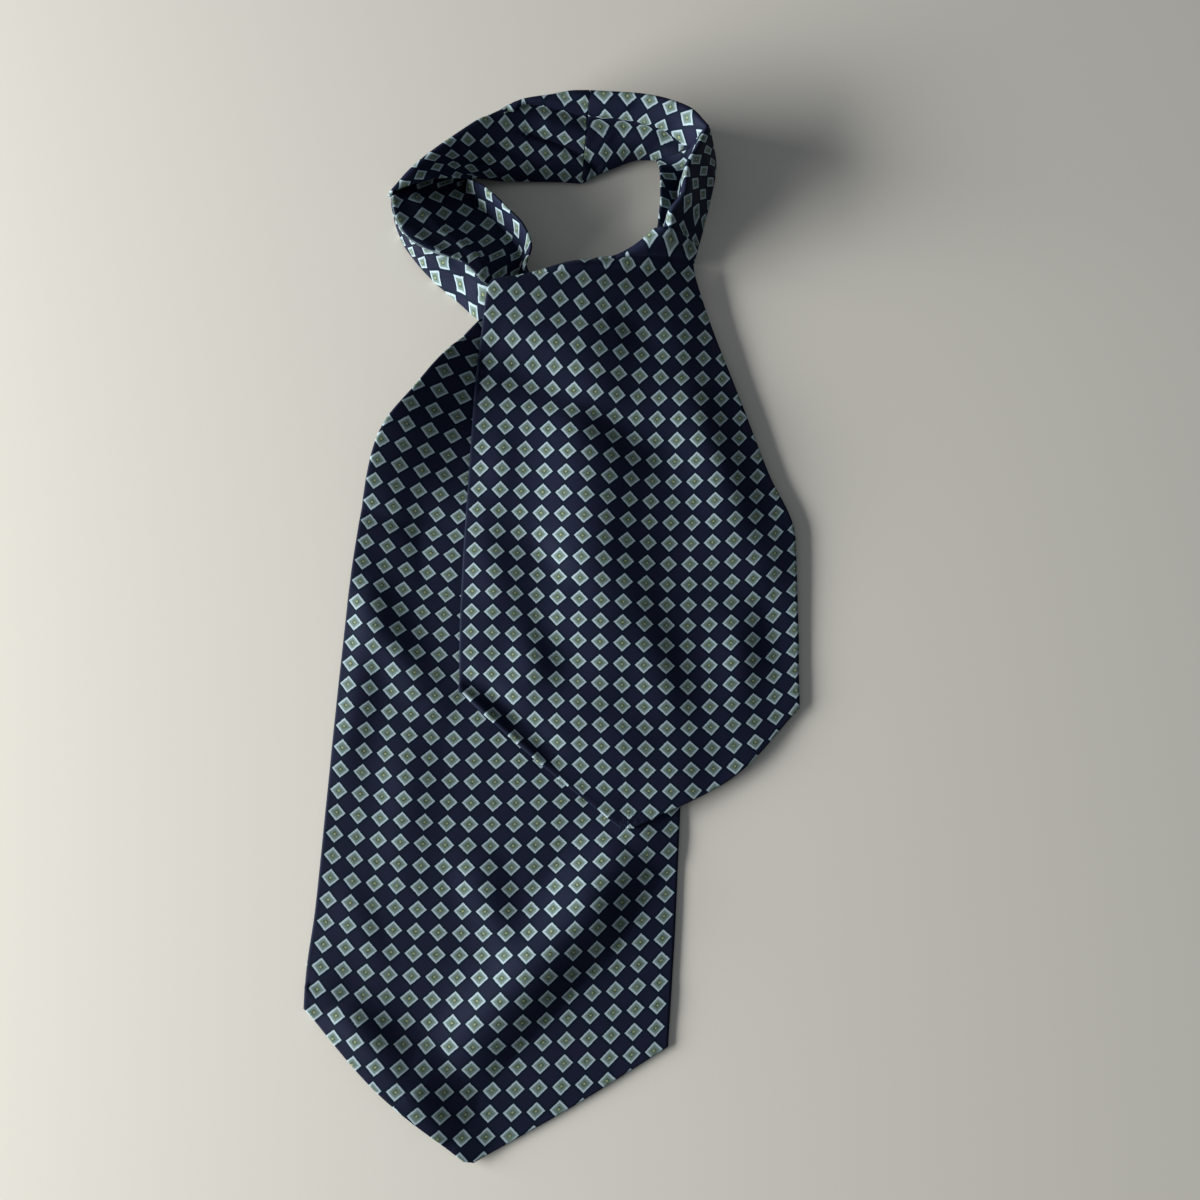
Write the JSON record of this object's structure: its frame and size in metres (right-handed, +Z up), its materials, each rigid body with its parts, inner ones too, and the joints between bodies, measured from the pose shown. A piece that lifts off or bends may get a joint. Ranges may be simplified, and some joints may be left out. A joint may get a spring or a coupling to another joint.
{
  "type": "cravat",
  "caption": "Silk cravat dropped flat: a pointed front blade lies over a longer pointed under blade, and the pleated neckband stands as an open loop at the far end.",
  "frame": {"origin": "middle of the whole cravat's box, on the surface it lies on", "axes": "+Y from the blades' points towards the neck loop, +X to the front blade's side, +Z up from the surface"},
  "size_m": [0.2056, 0.462, 0.0311],
  "materials": {
    "silk": "navy silk twill with a soft sheen and a neat repeat of small sage and silver diamonds"
  },
  "bodies": {
    "root": {"under_blade": "silk", "front_blade": "silk", "neck_left": "silk", "neck_back_left": "silk", "neck_back_right": "silk", "neck_right": "silk", "front_turn": "silk"}
  },
  "joints": []
}
